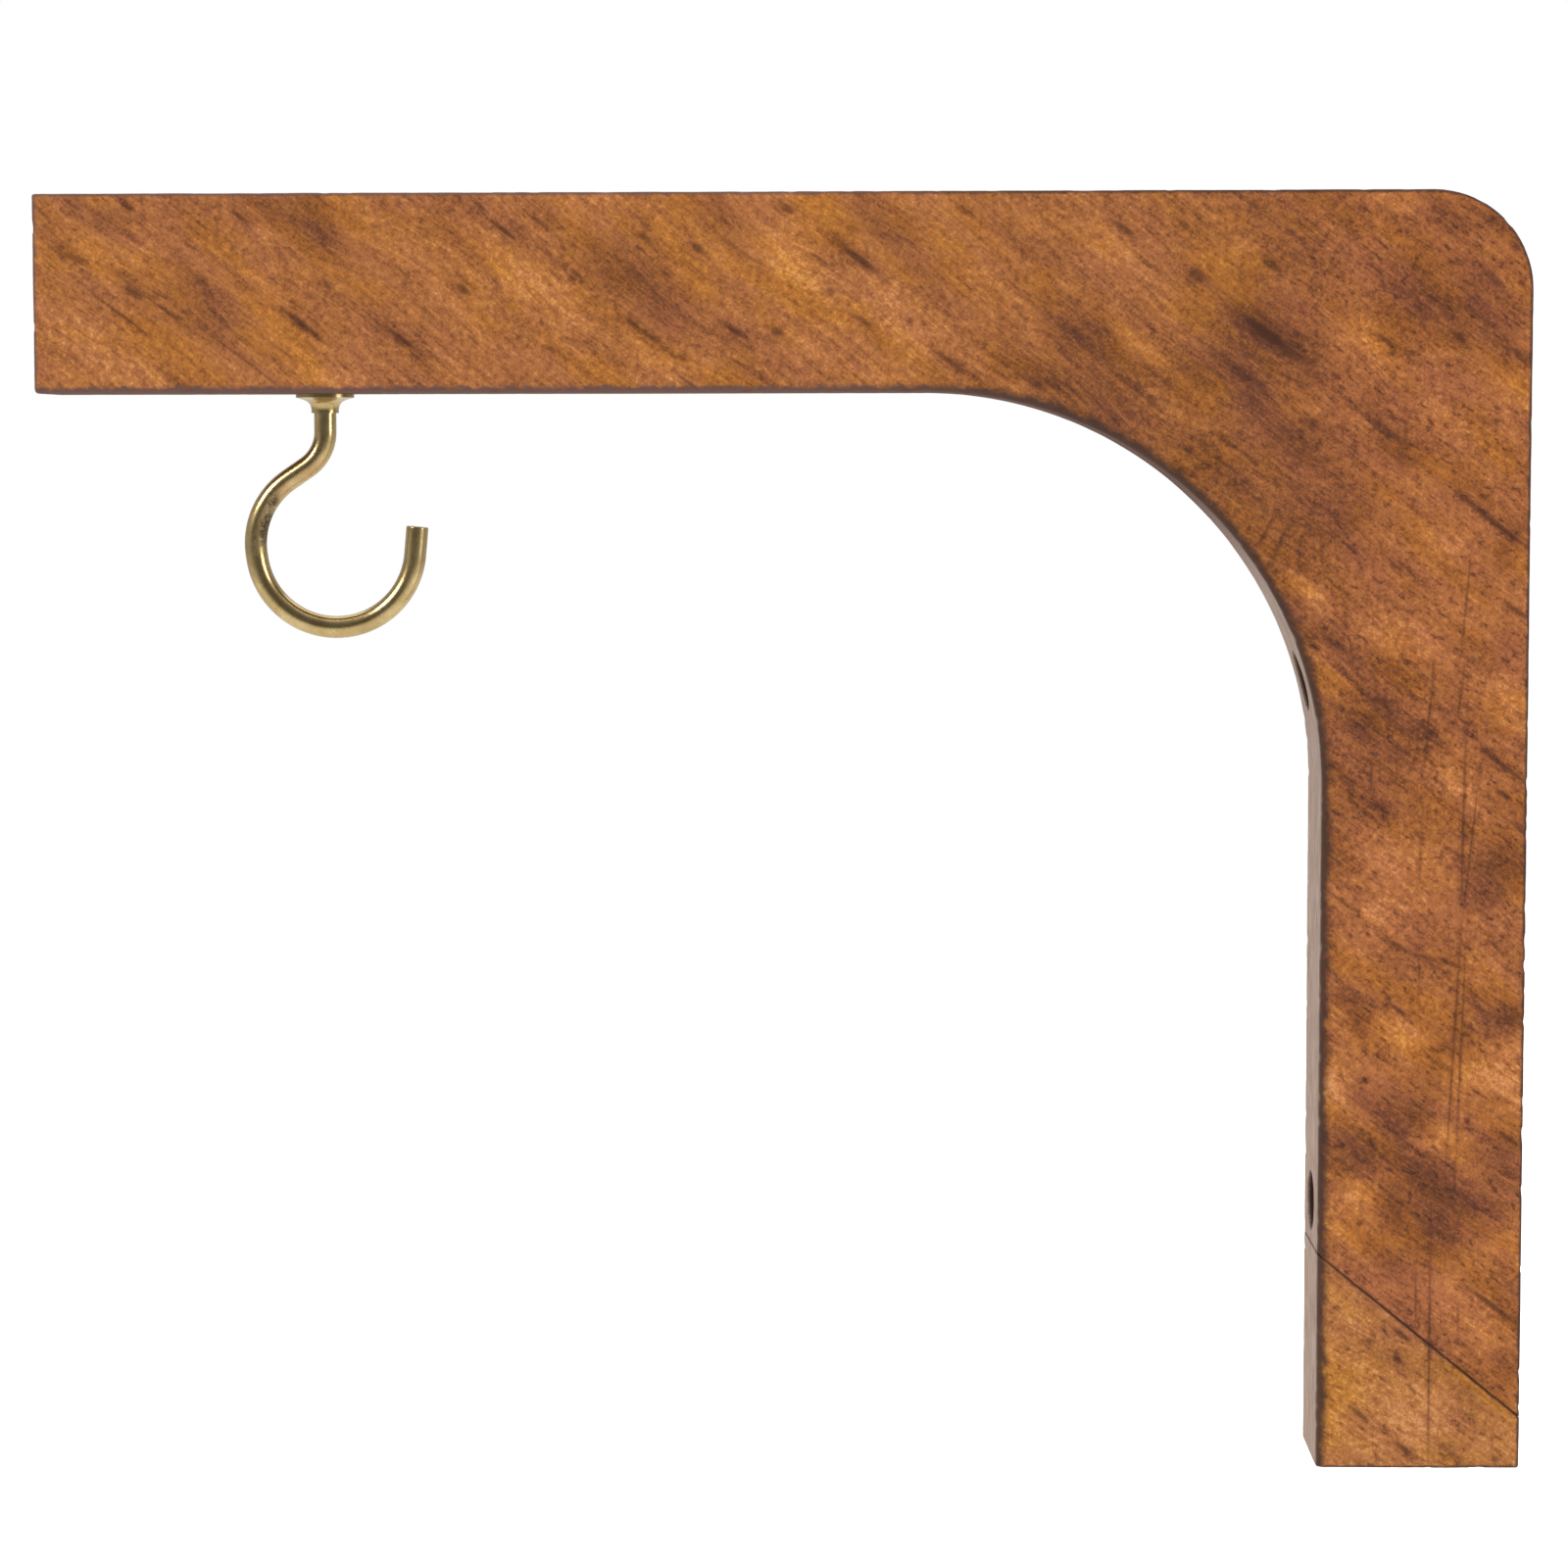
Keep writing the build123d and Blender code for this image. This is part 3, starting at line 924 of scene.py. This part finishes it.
def marked_tone(w, tone, ground, pores):
    """The tone with its soft dark and light patches, the pores and the ground round the crisp marks."""
    g = w.g
    clouds = g.ramp(g.add(g.stored("cloud"), g.swing(w.speck, 0.6)), 0.05, 0.62)
    lights = g.ramp(g.add(g.stored("light"), g.swing(w.speck, 0.25)), 0.05, 0.60)
    mottled_clouds = g.times(clouds, g.add(0.55, g.times(w.cloudy, 0.9)))
    return g.add(
        tone,
        g.times(mottled_clouds, CLOUD_TONE),
        g.times(lights, LIGHT_TONE),
        g.times(pores, PORE_TONE),
        g.times(ground, GROUND_TONE),
    )


def stained_colour(w, tone, tint):
    """The stain's colour for a tone, drifting between redder and yellower."""
    g = w.g
    hue = w.grain(w.bent, HUE_GRAIN, (0, 0, 40), detail=4, roughness=0.6)
    colour = g.mix(1.0, g.colours(tone, WOOD_TONES), g.colours(hue, WOOD_CASTS), blend="MULTIPLY")
    return g.mix(w.upright, colour, tint, blend="MULTIPLY")


def with_bare_spots(w, colour):
    """Tiny spots that the stain missed, most of them on the arm."""
    g = w.g
    spots = g.ramp(g.fac(w.millimetres, scale=BARE_SPOT_SCALE, detail=0), 0.80, 0.86, 0.0, 0.5)
    return g.mix(g.times(spots, w.passing(1.0, 0.15)), colour, BARE_SPOT_COLOUR)


def with_arrises(w, colour):
    """Dark arrises: a broad uneven one along the inner edge, thin ones along the others."""
    g = w.g
    inner_reach = g.add(w.inner, g.swing(w.unevenness, 1.8))
    inner_dark = g.fade(inner_reach, 0.5, g.ramp(w.x, -100, -60, 1.3, 2.0))
    end = g.minus(w.x, END_X / MM)
    foot = g.minus(w.z, FOOT_Z / MM)
    outer_edge = g.math("MINIMUM", w.outer, g.math("MINIMUM", end, foot))
    outer_reach = g.add(outer_edge, g.swing(w.unevenness, 0.7))
    outer_dark = g.fade(outer_reach, 0.25, 0.7, 0.95)
    arris = g.times(g.math("MAXIMUM", inner_dark, outer_dark), w.depth_ramp(2.2, 0.7))
    arris_colour = g.mix(g.ramp(w.x, -110, -60), ARM_ARRIS_COLOUR, UPRIGHT_ARRIS_COLOUR)
    return g.mix(g.times(arris, 0.95), colour, arris_colour)


def with_sawn_faces(w, colour, sawn, fibres):
    """Sawn faces, greyer than the sanded front and back, partly from less stain and partly from a painted
    sheen of the white surroundings at a grazing view, with painted shade darkest high up in the inner curve.
    """
    g = w.g
    # Painted shade: the sawn inner face darkens high up in the inner curve
    shaded = g.times(g.ramp(w.z, 48, 68), g.fade(w.inner, 0.2, 1.2))
    grey = g.mix(shaded, g.colours(fibres, SAWN_GREYS_AND_SHEEN), SHADED_SAWN_COLOUR)
    # Painted sheen: the inner face, seen at a grazing angle, takes the most of the greys
    grey_and_sheen_share = g.ramp(w.inner, 0.2, 1.2, 0.88, 0.40)
    return g.mix(g.times(sawn, grey_and_sheen_share), colour, grey)


def screw_hole_mask(w, height):
    """1 inside one screw hole's round, between the curve's wood and the wall face."""
    g = w.g
    away = g.hypot(w.y, g.minus(w.z, height / MM))
    radius = COUNTERBORE_RADIUS / MM
    inside = g.fade(away, radius + 0.15, radius + 0.45)
    inside = g.times(inside, g.ramp(w.x, -75, -65))
    return g.times(inside, g.fade(w.x, -1.2, -0.3))


def hole_mask(w):
    """1 inside the screw holes and the pilot hole, 0 elsewhere."""
    g = w.g
    masks = [screw_hole_mask(w, height) for height in SCREW_HEIGHTS]
    away = g.hypot(w.y, g.minus(w.x, HOOK_X / MM))
    radius = PILOT_RADIUS / MM
    pilot_end = (UNDERSIDE_Z + PILOT_DEPTH) / MM
    pilot = g.times(g.fade(away, radius + 0.1, radius + 0.4), g.fade(w.z, pilot_end + 0.5, pilot_end + 1.5))
    return g.times(g.largest([*masks, pilot]), g.ramp(w.inner, 0.05, 0.5))


def glue_mask(w):
    """The thin dark line where the two staves meet."""
    g = w.g
    fall = (GLUE_INNER_Z - GLUE_WALL_Z) / (WALL_X - INNER_X)
    steep = math.hypot(fall, 1)
    over = g.add(g.times(w.x, fall / steep), g.times(w.z, 1 / steep), -(GLUE_WALL_Z / MM) / steep)
    ragged = g.math("ABSOLUTE", g.add(over, g.swing(w.unevenness, 0.25)))
    return g.times(g.fade(ragged, 0.08, 0.34, 0.85), w.upright)


def wood_material(name, lift, tint):
    """Stained wood with its grain on the slant; lift makes it lighter and tint multiplies its colour."""
    w = Wood(name)
    g = w.g
    tone = planed_tone(w, lift)
    streaks, ground = crisp_mark_masks(w)
    pores = g.ramp(w.grain(w.bent, PORE_GRAIN, (31, 31, 0), detail=1), 0.63, 0.74, 0.0, 0.55)
    tone = marked_tone(w, tone, ground, pores)
    sawn = g.minus(1.0, w.depth_ramp(1.2, 0.4))
    sawn_fibres = g.fac(g.placed(w.millimetres, (0, 0, 0), 0.0, SAWN_FIBRE_SIZE), detail=4, roughness=0.7)
    colour = stained_colour(w, tone, tint)
    colour = g.mix(g.times(streaks, 0.95), colour, STREAK_COLOUR)
    colour = with_bare_spots(w, colour)
    colour = with_arrises(w, colour)
    colour = with_sawn_faces(w, colour, sawn, sawn_fibres)
    colour = g.mix(hole_mask(w), colour, HOLE_COLOUR)
    colour = g.mix(glue_mask(w), colour, GLUE_COLOUR)
    height = g.add(
        g.times(w.fine, 0.5),
        g.times(w.fibre, 0.5),
        g.times(w.tiny, 0.25),
        g.times(streaks, -0.9),
        g.times(pores, -0.8),
        g.times(g.times(sawn, sawn_fibres), 0.8),
    )
    return g.finish({
        "Base Color": colour,
        "Roughness": g.add(0.56, g.times(w.fibre, 0.18), g.times(sawn, 0.2), g.times(streaks, 0.15)),
        "Normal": g.bump(height, 0.5, BUMP_DISTANCE),
        "Specular IOR Level": 0.25,
    })


# -------- brass

# Tarnish on the hook, as (x, z, length, width, degrees that the length leans from upright, strength)
DARK_TARNISH = (
    (-178.7, 59.6, 8.0, 2.3, 15, 1.0),
    (-177.6, 63.2, 3.4, 1.5, 35, 0.9),
)
PINK_TARNISH = (
    (-172.6, 67.4, 6.5, 1.7, 54, 0.8),
    (-176.3, 64.8, 4.5, 1.7, 48, 0.8),
    (-179.3, 65.7, 8.0, 1.0, 44, 0.7),
)
TARNISH_HALF_DEPTH = 6.0

BRASS_TONES = (
    (0.3, srgb(158, 134, 86)),
    (0.5, srgb(180, 156, 108)),
    (0.7, srgb(200, 178, 132)),
)
PINK_COLOUR = srgb(186, 132, 92)
DARK_COLOUR = srgb(46, 29, 18)
STAIN_COLOUR = srgb(140, 112, 62)
BRASS_BUMP_DISTANCE = 0.02 * MM


def tarnish_mask(g, place, marks):
    """How strongly the tarnish marks show at a place."""
    masks = []
    for x, z, length, width, lean, strength in marks:
        size = (length / 2, TARNISH_HALF_DEPTH, width / 2)
        seen = g.placed(place, (x, 0, z), math.radians(90 + lean), size)
        masks.append(g.fade(g.vector("LENGTH", seen), 0.25, 1.3, strength))
    return g.largest(masks)


def brass_material(name):
    """Drawn and pressed brass, handled and a little tarnished."""
    g = Graph(name)
    place = g.millimetres()
    cloud = g.fac(place, scale=0.35, detail=3, roughness=0.6)
    speck = g.fac(place, scale=3.5, detail=3, roughness=0.7)
    drawn = g.fac(place, scale=1.8, detail=4, roughness=0.65)
    ragged = g.moved(place, 1.6, 1.8, detail=3, roughness=0.7)
    dark = tarnish_mask(g, ragged, DARK_TARNISH)
    pink = tarnish_mask(g, ragged, PINK_TARNISH)
    stain = g.ramp(g.fac(place, scale=1.1, detail=3, roughness=0.7), 0.60, 0.75, 0.0, 0.35)
    pitted_dark = g.times(dark, g.ramp(speck, 0.36, 0.54, 0.35, 1.0))
    colour = g.colours(g.add(g.times(cloud, 0.6), g.times(speck, 0.4)), BRASS_TONES)
    colour = g.mix(g.times(pink, g.ramp(speck, 0.42, 0.62, 0.1, 0.65)), colour, PINK_COLOUR)
    colour = g.mix(pitted_dark, colour, DARK_COLOUR)
    colour = g.mix(stain, colour, STAIN_COLOUR)
    height = g.add(g.times(drawn, 0.6), g.times(speck, 0.3), g.times(dark, -0.5), g.times(stain, -0.2))
    roughness = g.add(
        0.20,
        g.times(drawn, 0.08),
        g.times(stain, 0.2),
        g.times(dark, 0.35),
        g.times(pink, 0.15),
    )
    return g.finish({
        "Base Color": colour,
        "Roughness": roughness,
        "Normal": g.bump(height, 0.06, BRASS_BUMP_DISTANCE),
        "Metallic": g.minus(1.0, g.times(pitted_dark, 0.6)),
    })


# -------- pieces

# The foot's stave is a little lighter than the board's, and each has its own tint on the upright
BOARD_LIFT, BOARD_TINT = 0.0, srgb(255, 249, 253)
TOE_LIFT, TOE_TINT = 0.10, srgb(251, 255, 250)


def wood_piece(piece, node, material):
    """Finishes a stave and lets it stand for its CAD node."""
    shade(piece)
    store_patches(piece)
    store_crisp_marks(piece)
    piece.data.materials.clear()
    piece.data.materials.append(material)
    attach(piece, "bracket")
    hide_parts(node)


def finish_node(node, material):
    """Gives a CAD node's material slots one procedural material."""
    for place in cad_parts[node].material_slots:
        place.material = material


def make_object():
    outwards, down, up = (-1, 0), (0, -1), (0, 1)
    board = stave("board_stave", outline_stations(), (OUTER_ROUND, outwards), (GLUE_ROUND, down))
    drill(board, hole_cutters())
    board_finish = wood_material("board_wood_finish", BOARD_LIFT, BOARD_TINT)
    wood_piece(board, "bracket_board", board_finish)
    toe = stave("toe_stave", toe_stations(), (GLUE_ROUND, up), (OUTER_ROUND, down))
    toe_finish = wood_material("toe_wood_finish", TOE_LIFT, TOE_TINT)
    wood_piece(toe, "bracket_toe", toe_finish)
    finish_node("cup_hook", brass_material("hook_brass_finish"))
    finish_node("hook_collar", brass_material("collar_brass_finish"))


# -------- studio

CAMERA_PLACE = Vector((-91.5, -591.2, TOP_Z / MM - 35.4)) * MM
CAMERA_PITCH = math.radians(-4.68)
CAMERA_YAW = math.radians(1.29)
CAMERA_ROLL = math.radians(-0.11)
LENS = 95.0
SENSOR_WIDTH = 36.0
NEAR_CLIP = 0.01

# The world's light is dimmest from where the camera stands, and rises over this span of the direction's y
DIM_SPAN = (-0.95, -0.2)
DIM_STRENGTH, FULL_STRENGTH = 0.15, 0.58

# The floor lies this far below the foot
FLOOR_DROP = 0.30
FLOOR_HALF_SIZE = 3.0
FLOOR_SQUARES = 24
FLOOR_TINTS = (
    (0.3, (0.93, 0.93, 0.93, 1)),
    (0.7, (0.96, 0.96, 0.96, 1)),
)
FLOOR_GLOW = 0.8


def add_camera():
    data = bpy.data.cameras.new("camera")
    data.lens = LENS
    data.sensor_width = SENSOR_WIDTH
    data.clip_start = NEAR_CLIP
    camera = bpy.data.objects.new("camera", data)
    turn = (
        Matrix.Rotation(CAMERA_YAW, 4, "Z")
        @ Matrix.Rotation(math.pi / 2 + CAMERA_PITCH, 4, "X")
        @ Matrix.Rotation(CAMERA_ROLL, 4, "Z")
    )
    camera.matrix_world = Matrix.Translation(CAMERA_PLACE) @ turn
    bpy.context.scene.collection.objects.link(camera)
    bpy.context.scene.camera = camera


def add_light(name, place, target, size, power):
    data = bpy.data.lights.new(name, "AREA")
    data.shape = "RECTANGLE"
    data.size, data.size_y = size
    data.energy = power
    lamp = bpy.data.objects.new(name, data)
    lamp.location = place
    lamp.rotation_euler = (Vector(target) - Vector(place)).to_track_quat("-Z", "Y").to_euler()
    bpy.context.scene.collection.objects.link(lamp)


def add_world():
    """A studio that looks white and lights the object a little less from where the camera stands."""
    world = bpy.data.worlds.new("studio")
    bpy.context.scene.world = world
    world.use_nodes = True
    tree = world.node_tree
    tree.nodes.clear()
    direction = tree.nodes.new("ShaderNodeTexCoord").outputs["Generated"]
    split = tree.nodes.new("ShaderNodeSeparateXYZ")
    tree.links.new(direction, split.inputs[0])
    spread = tree.nodes.new("ShaderNodeMapRange")
    spread.interpolation_type = "SMOOTHSTEP"
    tree.links.new(split.outputs[1], spread.inputs["Value"])
    spread.inputs["From Min"].default_value, spread.inputs["From Max"].default_value = DIM_SPAN
    spread.inputs["To Min"].default_value = DIM_STRENGTH
    spread.inputs["To Max"].default_value = FULL_STRENGTH
    seen = tree.nodes.new("ShaderNodeLightPath").outputs["Is Camera Ray"]
    strength = tree.nodes.new("ShaderNodeMath")
    strength.operation = "MAXIMUM"
    tree.links.new(spread.outputs["Result"], strength.inputs[0])
    tree.links.new(seen, strength.inputs[1])
    background = tree.nodes.new("ShaderNodeBackground")
    background.inputs["Color"].default_value = (1, 1, 1, 1)
    tree.links.new(strength.outputs[0], background.inputs["Strength"])
    output = tree.nodes.new("ShaderNodeOutputWorld")
    tree.links.new(background.outputs[0], output.inputs["Surface"])


def floor_material():
    """A matt pale floor that looks nearly white."""
    g = Graph("floor_finish")
    raw = g.node("ShaderNodeTexCoord").outputs["Object"]
    seen = g.node("ShaderNodeLightPath").outputs["Is Camera Ray"]
    return g.finish({
        "Base Color": g.colours(g.fac(raw, scale=3.0, detail=2), FLOOR_TINTS),
        "Roughness": 0.9,
        "Emission Color": (1, 1, 1, 1),
        "Emission Strength": g.times(seen, FLOOR_GLOW),
    })


def add_floor():
    """A flat pale floor."""
    mesh = bpy.data.meshes.new("floor")
    grid = bmesh.new()
    bmesh.ops.create_grid(grid, x_segments=FLOOR_SQUARES, y_segments=FLOOR_SQUARES, size=FLOOR_HALF_SIZE)
    for vertex in grid.verts:
        vertex.co.z = FOOT_Z - FLOOR_DROP
    grid.to_mesh(mesh)
    grid.free()
    mesh.materials.append(floor_material())
    floor = bpy.data.objects.new("floor", mesh)
    bpy.context.scene.collection.objects.link(floor)


def add_studio():
    add_world()
    add_floor()
    middle = ((END_X + WALL_X) / 2, 0, (TOP_Z + FOOT_Z) / 2)
    add_light("key", (-1.15, -0.65, 0.75), middle, (0.5, 0.5), power=11.8)
    add_light("fill", (1.15, -0.65, 0.35), middle, (0.5, 0.7), power=8.0)
    add_light("floor_light", (0, 0.6, 1.6), (0, 0.6, 0), (2.5, 2.5), power=25)


make_object()
add_studio()
add_camera()
bpy.context.scene.view_settings.view_transform = "Standard"
